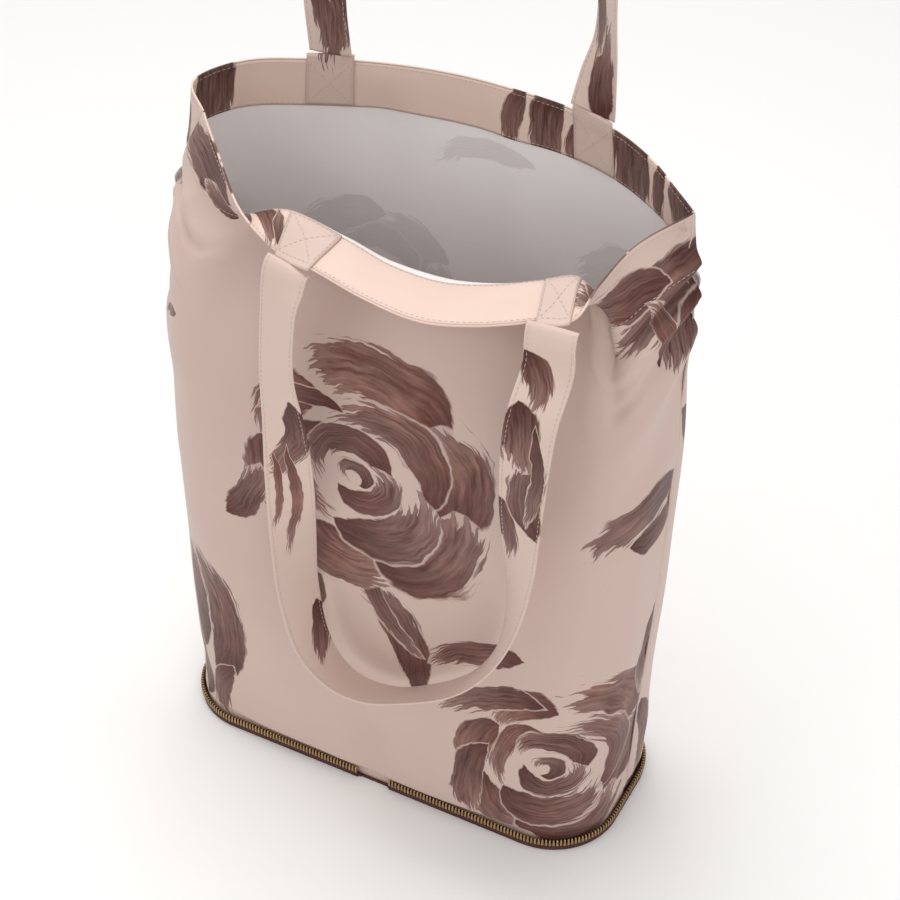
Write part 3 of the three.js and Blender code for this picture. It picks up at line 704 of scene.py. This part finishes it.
BRUSH = brush_group()
STRAP_TONE = {"low": (0.63, 0.475, 0.415, 1), "high": (0.70, 0.54, 0.48, 1)}
# The bands' cloth is the walls' printed cloth made lighter: painted light for the top light that
# falls on the turned-out bands.
BAND_PAINTED_LIGHT_TONE = {"low": (0.74, 0.555, 0.475, 1), "high": (0.80, 0.615, 0.535, 1)}


def wall_materials(word, strokes):
    """Outer and inner cloth of a wall, each in a lower and an upper part with its own strokes."""
    parts = [("lower", 0, PRINT_SPLIT), ("upper", PRINT_SPLIT, CUT_H)]
    groups = [print_group(f"{word} {part} print", within(strokes, low, high), BRUSH)
              for part, low, high in parts]
    out = [cloth_material(f"{word} {part[0]} cloth", g) for part, g in zip(parts, groups)]
    inner = [cloth_material(f"{word} {part[0]} lining side", g, inside=True)
             for part, g in zip(parts, groups)]
    return out + inner


def trim_material(word, strokes, **colors):
    group = print_group(f"{word} print", list(enumerate(strokes)), BRUSH)
    return cloth_material(f"{word} cloth", group, **colors)


WALL_CLOTH = {-1: wall_materials("front", front_strokes()),
              1: wall_materials("back", back_strokes())}
BAND_OUT = {-1: trim_material("front band", front_band_strokes(), **BAND_PAINTED_LIGHT_TONE),
            1: trim_material("back band", back_band_strokes(), **BAND_PAINTED_LIGHT_TONE)}
STRAP_OUT = trim_material("front strap", front_strap_strokes(), **STRAP_TONE)
STRAP_BACK = trim_material("back strap", back_strap_strokes(), **STRAP_TONE)
THREAD = plain_cloth("thread", (0.42, 0.36, 0.33, 1), (0.66, 0.60, 0.56, 1), 0.6, 0.5)
MAROON = plain_cloth("maroon cloth", (0.045, 0.012, 0.012, 1), (0.12, 0.035, 0.03, 1), 0.8, 0.9)
TAPE = plain_cloth("maroon tape", (0.04, 0.010, 0.011, 1), (0.105, 0.028, 0.026, 1), 0.85, 0.7)
BRASS = brass_material()


# ------------------------------------------------------------------ pieces
SOFT = []


def soft(obj, name, body="bag_body"):
    """A soft piece: it takes the place of its CAD part and rides on its body."""
    if name:
        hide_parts(name)
    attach(obj, body)
    SOFT.append(obj)
    return obj


def make_wall(side):
    word = "front" if side < 0 else "back"
    u = np.linspace(0, 1, 211)
    v = np.unique(np.concatenate([np.linspace(0, 0.06, 12), np.linspace(0.06, 1, 236)]))
    wall_piece = layer(f"{word}_wall", side, u, v, (0, CLOTH_T), WALL_CLOTH[side])
    return soft(wall_piece, f"{word}_panel")


def make_band(side):
    word = "front" if side < 0 else "back"
    u = np.linspace(0.006, 0.994, 190)
    v = np.linspace(1 - BAND_H / CUT_H, 0.9985, 18)
    band = layer(f"{word}_band", side, u, v, BAND_DEPTH, [BAND_OUT[side]] * 2)
    return soft(band, f"{word}_mouth_band")


def make_rim(side):
    """The turned edge along the mouth, over the top of the wall and its band."""
    word = "front" if side < 0 else "back"
    u = np.linspace(0.002, 0.998, 240)
    p, n = wall(side, u, 1.0)
    p, n = p[0], n[0]
    q, _ = wall(side, u, 0.99)
    up = p - q[0]
    up /= np.linalg.norm(up, axis=1, keepdims=True)
    centre = p - n * (BAND_DEPTH[1] / 2)
    turns = np.linspace(0, 2 * math.pi, RIM_SIDES, endpoint=False)
    rings = [centre + n * math.cos(a) * 0.72 + up * math.sin(a) * 0.55 for a in turns]
    points = np.stack(rings, 1).reshape(-1, 3)
    faces = [f[::-1] for f in tube_faces(len(u), RIM_SIDES)]
    uvs = np.stack([np.repeat(u * CUT_W, RIM_SIDES), np.full(len(points), CUT_H - 1)], -1)
    return soft(mesh_object(f"{word}_rim", points, faces, uvs, materials=[BAND_OUT[side]]), None)


def band_stitching(side):
    word = "front" if side < 0 else "back"
    u = np.linspace(0.008, 0.992, 400)
    pile = Pile()
    for up in (CUT_H - 2.6, CUT_H - BAND_H + 1.6):
        p, n = wall(side, u, up / CUT_H)
        add_stitches(pile, p[0], n[0])
        add_stitches(pile, p[0] - n[0] * BAND_DEPTH[1], -n[0])
    return soft(pile.build(f"{word}_band_stitching", THREAD), None)


def make_binding(u, word):
    """Narrow tape over the seam allowance, inside the corner."""
    v = np.linspace(0.03, 0.915, 90)
    p, _ = wall(-1, u, v)
    p = p[:, 0]
    way = 1 if u < 0.5 else -1
    across = np.linspace(-3, 3, 7)
    outer = np.stack([p + np.array([way * (2.4 + 0.06 * a * a), a, 0]) for a in across], 1)
    inner = outer + np.array([way * 0.8, 0, 0])
    uv = np.stack(np.meshgrid(across, v * CUT_H), -1)
    points, faces, uvs, slots = slab(outer, inner, uv, way > 0)
    tape = mesh_object(f"{word}_binding", points, faces, uvs, [0] * len(slots), [THREAD])
    return soft(tape, f"{word}_seam_binding")


def end_patch(side, u):
    """Points, normals and UVs on the inside of the band under one handle end."""
    half = STRAP_W / CUT_W / 2
    us = np.linspace(u - half, u + half, 13)
    vs = np.linspace(1 - (BAND_H - 1.5) / CUT_H, 1, 14)
    p, n = wall(side, us, vs)
    along = p[-1] - p[-2]
    along /= np.linalg.norm(along, axis=-1, keepdims=True)
    extra = np.stack([p[-1] + along * END_RISE[side] * f for f in (0.5, 1.0)])
    p = np.concatenate([p, extra])
    n = np.concatenate([n, n[-1:], n[-1:]])
    return p, n


def make_end(side, u, name, material, uv_y):
    """The sewn end of a handle, with its box and cross of stitches."""
    p, n = end_patch(side, u)
    x, y = np.meshgrid(np.linspace(-STRAP_W / 2, STRAP_W / 2, p.shape[1]),
                       uv_y + np.linspace(-32, 4, p.shape[0]))
    low, high = END_DEPTH
    points, faces, uvs, slots = slab(p - n * low, p - n * high, np.stack([x, y], -1), side > 0)
    end = mesh_object(name + "_cloth", points, faces, uvs, [0] * len(slots), [material])
    soft(end, name)
    pile = Pile()
    inner = p - n * high
    rows, cols = p.shape[0] - 3, p.shape[1] - 1
    corners = [(0.05, 0.06), (0.95, 0.06), (0.95, 0.95), (0.05, 0.95), (0.05, 0.06)]
    legs = list(zip(corners[:-1], corners[1:]))
    legs += [(corners[0], corners[2]), (corners[1], corners[3])]
    for (u0, v0), (u1, v1) in legs:
        line, facing = [], []
        for f in np.linspace(0, 1, 16):
            a, b = (u0 + (u1 - u0) * f) * cols, (v0 + (v1 - v0) * f) * rows
            i, j = min(int(b), rows - 1), min(int(a), cols - 1)
            fb, fa = b - i, a - j
            mix = (inner[i, j] * (1 - fa) + inner[i, j + 1] * fa) * (1 - fb)
            mix += (inner[i + 1, j] * (1 - fa) + inner[i + 1, j + 1] * fa) * fb
            line.append(mix)
            facing.append(-n[i, j])
        add_stitches(pile, line, facing)
    return end, soft(pile.build(name + "_stitches", THREAD), None)


def root(side, u):
    """Where a handle leaves its sewn end."""
    p, n = wall(side, [u], [0.99, 1.0])
    along = p[1, 0] - p[0, 0]
    along /= np.linalg.norm(along)
    start = p[1, 0] - n[1, 0] * sum(END_DEPTH) / 2
    return start + along * (END_RISE[side] + 0.3)


def strap_section():
    """Half of the strap's cross-section: hemmed edges a little fuller than the middle."""
    half = STRAP_W / 2
    return [(half, 0.0), (half - 0.25, 0.5), (half - 1.0, 0.68), (half - HEM, 0.42),
            (half - 4.0, 0.62), (half - 9.0, 0.7), (0.0, 0.72)]


def make_strap(name, path, faces, node, body, material):
    """A flat folded strap along a path; `faces` says which way its outer face looks."""
    path, faces = np.array(path, float), np.array(faces, float)
    count = 260
    m = spread(np.arange(len(path)), np.linspace(0, len(path) - 1, count))
    p, n = m @ path, m @ faces
    t = np.gradient(p, axis=0)
    t /= np.linalg.norm(t, axis=1, keepdims=True)
    n -= (n * t).sum(1, keepdims=True) * t
    n /= np.linalg.norm(n, axis=1, keepdims=True)
    w = np.cross(n, t)
    s = np.concatenate([[0], np.cumsum(np.linalg.norm(np.diff(p, axis=0), axis=1))])
    cup = 0.5 * np.sin(s / 37) + 0.35 * np.sin(s / 14 + 1)
    half = strap_section()
    top = half + [(-a, b) for a, b in half[-2::-1]]
    ring = top + [(a, -b) for a, b in top[-2:0:-1]]
    points, uvs = [], []
    for a, b in ring:
        bow = cup * (1 - (2 * a / STRAP_W) ** 2)
        points.append(p + w * a + n * (b + bow)[:, None])
        uvs.append(np.stack([np.full(count, a), s + STRAP_START], -1))
    points = np.stack(points, 1).reshape(-1, 3)
    uvs = np.stack(uvs, 1).reshape(-1, 2)
    strap = mesh_object(name, points, tube_faces(count, len(ring)), uvs, materials=[material])
    soft(strap, node, body)
    pile = Pile()
    for sign in (1, -1):
        edge = p + w * sign * (STRAP_W / 2 - HEM)
        for face in (1, -1):
            add_stitches(pile, edge + n * (face * 0.44 + cup[:, None] * 0.25), n * face)
    soft(pile.build(name + "_stitching", THREAD), None, body)
    return strap, s[-1]


def front_handle():
    a, b = root(-1, TAB_FRONT[0]), root(-1, TAB_FRONT[1])
    path = [
        a, a + (-0.6, -3, -1.6), a + (-1.6, -6, -9), a + (-4, -9.5, -28), (-45, -91, 371),
        (-42, -91, 328), (-40, -92, 284), (-39, -93, 238), (-37, -94, 194), (-27, -96, 153),
        (-6, -97, 130), (22, -97, 128), (54, -97, 144), (85, -97, 168), (106, -96, 199),
        (118, -95, 240), (121, -93, 285), (121, -92, 330), (124, -90, 386),
        b + (1.5, -9.5, -26), b + (0.8, -6, -9), b + (0.3, -3, -1.6), b,
    ]
    faces = [
        (0.1, -0.5, 0.85), (0, -0.75, 0.6), (-0.1, -1, 0.1), (-0.3, -0.95, 0), (-0.28, -0.96, 0),
        (0.05, -1, 0), (0.45, -0.9, 0), (0.75, -0.66, 0), (0.88, -0.45, 0.15), (0.75, -0.15, 0.45),
        (0.45, 0.2, 0.8), (0, 0.3, 0.95), (-0.25, 0.25, 0.93), (-0.5, 0.1, 0.8),
        (-0.7, -0.15, 0.55), (-0.75, -0.55, 0.25), (-0.46, -0.89, 0), (-0.12, -1, 0),
        (0.2, -0.98, 0), (0.15, -1, 0), (0.1, -1, 0.1), (0.1, -0.75, 0.6), (0.1, -0.5, 0.85),
    ]
    return make_strap("front_strap", path, faces, "front_handle", "front_handle_loop", STRAP_OUT)


def back_handle():
    a, b = root(1, TAB_BACK[0]), root(1, TAB_BACK[1])
    path = [
        a, (-99, a[1], 530), (-100, 71, 580), (-99, 71, 640), (-92, 71, 700), (-63, 71, 762),
        (-5, 71, 790), (54, 71, 762), (84, 71, 700), (90, 71, 640), (90, 71, 580), (90, 71, 545),
        b + (2.5, 0, 20), b,
    ]
    faces = [
        (0, -1, 0), (0, -1, 0), (0.15, -1, 0), (0.5, -0.85, 0), (0.85, -0.5, -0.1),
        (0.7, -0.25, -0.6), (0, -0.2, -1), (-0.7, -0.3, -0.6), (-0.85, -0.5, -0.1),
        (-0.78, -0.62, 0), (-0.74, -0.67, 0), (-0.65, -0.76, 0), (-0.37, -0.93, 0), (-0.1, -1, 0),
    ]
    return make_strap("back_strap", path, faces, "back_handle", "back_handle_loop", STRAP_BACK)


def half_line(side, inset, spacing, clear):
    """Points and outward directions round one half's edge, from spine to spine."""
    whole = outline_length(inset)
    s = np.arange(whole / 2 + SPINE_HALF + clear, whole, spacing)
    front = outline(s, inset, -1)
    back = outline(s[::-1][1:], inset, 1)
    xy = np.concatenate([front, back])
    t = np.gradient(xy, axis=0)
    t /= np.linalg.norm(t, axis=1, keepdims=True)
    out = np.stack([t[:, 1], -t[:, 0]], -1)
    flip = np.array([side, 1.0])
    return xy * flip, out * flip, t * flip


def make_tape(side, word):
    """Zip tape standing round one half: turned in at the foot, a bead under the teeth."""
    xy, out, _ = half_line(side, 0, 3.0, 2.5)
    profile = [(-0.9, 0.35), (-0.1, 0.3), (0.45, 0.9), (0.5, 3.0), (0.35, 5.2), (0.8, 5.9),
               (0.7, 6.7), (0.0, 7.0), (-0.7, 6.7), (-0.8, 5.9), (-0.35, 5.2), (-0.35, 3.0),
               (-0.5, 1.2), (-1.3, 1.1)]
    points = []
    for d, z in profile:
        points.append(np.column_stack([xy + out * d, np.full(len(xy), z)]))
    points = np.stack(points, 1).reshape(-1, 3)
    faces = tube_faces(len(xy), len(profile))
    if side < 0:
        faces = [f[::-1] for f in faces]
    tape = mesh_object(f"zip_tape_{word}_cloth", points, faces, materials=[TAPE])
    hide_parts(f"zip_tape_{word}")
    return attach(tape, f"base_{word}")


def make_teeth(side, word):
    """Separate metal teeth clamped over the tape's bead."""
    xy, out, along = half_line(side, 0, TOOTH_PITCH, 3.2)
    pile = Pile()
    levels = [(5.6, 0.62, 1.15), (6.4, 0.74, 1.32), (8.6, 0.72, 1.25), (9.6, 0.58, 1.1),
              (10.5, 0.5, 0.85), (10.8, 0.3, 0.55)]
    faces = tube_faces(len(levels), 4)
    if side < 0:
        faces = [f[::-1] for f in faces]
    for p, n, t in zip(xy, out, along):
        points = []
        for z, half_t, half_n in levels:
            for a, b in ((-1, -1), (1, -1), (1, 1), (-1, 1)):
                q = p + t * a * half_t + n * b * half_n
                points.append((q[0], q[1], z))
        pile.add(points, faces)
    teeth = pile.build(f"zip_teeth_{word}_metal", BRASS, smooth=False)
    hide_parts(f"zip_teeth_{word}")
    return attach(teeth, f"base_{word}")


def make_base(side, word):
    """Base cloth of one half, in a few rings so that its edge rolls over softly."""
    points, faces = [], []
    inner = SPINE_HALF + 0.3
    rings = [(3.0, 0.0), (1.6, 0.02), (1.0, 0.5), (1.3, 1.2), (2.6, 1.4), (12, 1.25), (30, 1.15)]
    for inset, z in rings:
        whole = outline_length(inset)
        s = np.linspace(whole / 2 + inner, whole, 60)
        xy = np.concatenate([outline(s, inset, -1), outline(s[::-1][1:], inset, 1)])
        count = len(xy)
        points.append(np.column_stack([xy * (side, 1), np.full(count, z)]))
    points = np.concatenate(points)
    for i in range(len(rings) - 1):
        for j in range(count - 1):
            faces.append((i * count + j, i * count + j + 1, (i + 1) * count + j + 1,
                          (i + 1) * count + j))
    faces.append(tuple(range(count))[::-1])
    faces.append(tuple((len(rings) - 1) * count + j for j in range(count)))
    faces.append(tuple(i * count for i in range(len(rings)))
                 + tuple(i * count + count - 1 for i in range(len(rings) - 1, -1, -1)))
    if side < 0:
        faces = [f[::-1] for f in faces]
    base = mesh_object(f"base_{word}_cloth", points, faces, materials=[MAROON])
    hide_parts(f"base_{word}_panel")
    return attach(base, f"base_{word}")


def make_spine():
    """The cloth hinge strip: ribbed across, so that it bends."""
    low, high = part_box("base_spine")
    x = np.linspace(low.x, high.x, 33) / MM
    y = np.linspace(low.y, high.y, 41) / MM
    gx, gy = np.meshgrid(x, y)
    top = 1.2 + 0.15 * np.cos(gx / 1.3)
    outer = np.stack([gx, gy, top], -1)
    inner = np.stack([gx, gy, np.full_like(gx, 0.05)], -1)
    points, faces, _, slots = slab(outer, inner, np.stack([gx, gy], -1), False)
    strip = mesh_object("spine_cloth", points, faces, None, [0] * len(slots), [MAROON])
    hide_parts("base_spine")
    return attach(strip, "bag_body")


def thread_tails():
    """Loose thread ends where the side seam meets the rim at the right corner."""
    p, n = wall(-1, [0.985], [0.985])
    at = p[0, 0] + n[0, 0] * 0.5
    pile = Pile()
    for k, (dx, dy, dz) in enumerate(((-7, -4, 3.0), (-9, -2, 1.5), (-4, -5, -4))):
        f = np.linspace(0, 1, 12)[:, None]
        bend = np.array([[1.0, -1.5, 1.2 - k]]) * np.sin(f * math.pi)
        add_tube(pile, at + np.array([[dx, dy, dz]]) * f + bend, 0.2)
    return soft(pile.build("seam_threads", THREAD), None)


def finish_metal():
    """Slider and pull keep their CAD shape and get a real metal."""
    for name in ("zip_slider", "zip_pull"):
        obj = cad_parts[name]
        obj.data.materials.clear()
        obj.data.materials.append(BRASS)


# ------------------------------------------------------------------ stage
def camera():
    """The photograph's view: a long lens from the front right, looking down."""
    azimuth, elevation = math.radians(27.82), math.radians(39.58)
    distance, across, up = 1.5225, 0.0226, 0.2000
    back = Vector((math.sin(azimuth) * math.cos(elevation),
                   -math.cos(azimuth) * math.cos(elevation), math.sin(elevation)))
    right = Vector((math.cos(azimuth), math.sin(azimuth), 0))
    top = back.cross(right)
    cam = bpy.data.cameras.new("camera")
    cam.sensor_width = 36
    cam.lens = 82.28
    cam.clip_end = 50
    obj = bpy.data.objects.new("camera", cam)
    place = back * distance + right * across + top * up
    turn = Matrix((right, top, back)).transposed().to_4x4()
    obj.matrix_world = Matrix.Translation(place) @ turn
    bpy.context.scene.collection.objects.link(obj)
    bpy.context.scene.camera = obj


def area_light(name, place, target, size, power):
    light = bpy.data.lights.new(name, "AREA")
    light.size = size
    light.energy = power
    obj = bpy.data.objects.new(name, light)
    obj.location = place
    obj.rotation_euler = (Vector(target) - Vector(place)).to_track_quat("-Z", "Y").to_euler()
    bpy.context.scene.collection.objects.link(obj)


def make_stage():
    floor = mesh_object("floor", [(-6000, -6000, -0.1), (6000, -6000, -0.1), (6000, 6000, -0.1),
                                  (-6000, 6000, -0.1)], [(0, 1, 2, 3)])
    mat = bpy.data.materials.new("floor")
    mat.use_nodes = True
    shader = mat.node_tree.nodes["Principled BSDF"]
    shader.inputs["Base Color"].default_value = (0.94, 0.943, 0.938, 1)
    shader.inputs["Roughness"].default_value = 0.9
    floor.data.materials.append(mat)
    world = bpy.data.worlds.new("studio")
    world.use_nodes = True
    world.node_tree.nodes["Background"].inputs[0].default_value = (1.0, 0.985, 0.965, 1)
    world.node_tree.nodes["Background"].inputs[1].default_value = 0.72
    bpy.context.scene.world = world
    area_light("top", (-0.35, 0.25, 2.2), (0, 0, 0.2), 1.1, 19)
    area_light("key", (-0.9, -1.4, 1.6), (0, 0, 0.25), 0.9, 3)
    area_light("fill", (1.4, -1.3, 1.3), (0, 0, 0.25), 1.2, 6)
    bpy.context.scene.view_settings.view_transform = "Standard"


camera()
make_stage()
walls = {side: make_wall(side) for side in (-1, 1)}
bands = {side: make_band(side) for side in (-1, 1)}
for side in (-1, 1):
    make_rim(side)
for side in (-1, 1):
    band_stitching(side)
make_binding(0.0, "left")
make_binding(1.0, "right")
# Side, place across, name, cloth, and where in the strap's print the end is cut.
ENDS = [
    (-1, TAB_FRONT[0], "front_handle_left_end", STRAP_OUT, 36),
    (-1, TAB_FRONT[1], "front_handle_right_end", STRAP_OUT, 790),
    (1, TAB_BACK[0], "back_handle_left_end", STRAP_BACK, 36),
    (1, TAB_BACK[1], "back_handle_right_end", STRAP_BACK, 806),
]
ends = [make_end(*e)[0] for e in ENDS]
front, front_length = front_handle()
back, back_length = back_handle()
thread_tails()
for half_side, half_word in ((-1, "left"), (1, "right")):
    make_base(half_side, half_word)
    make_tape(half_side, half_word)
    make_teeth(half_side, half_word)
make_spine()
finish_metal()

for piece in SOFT:
    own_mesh(piece)
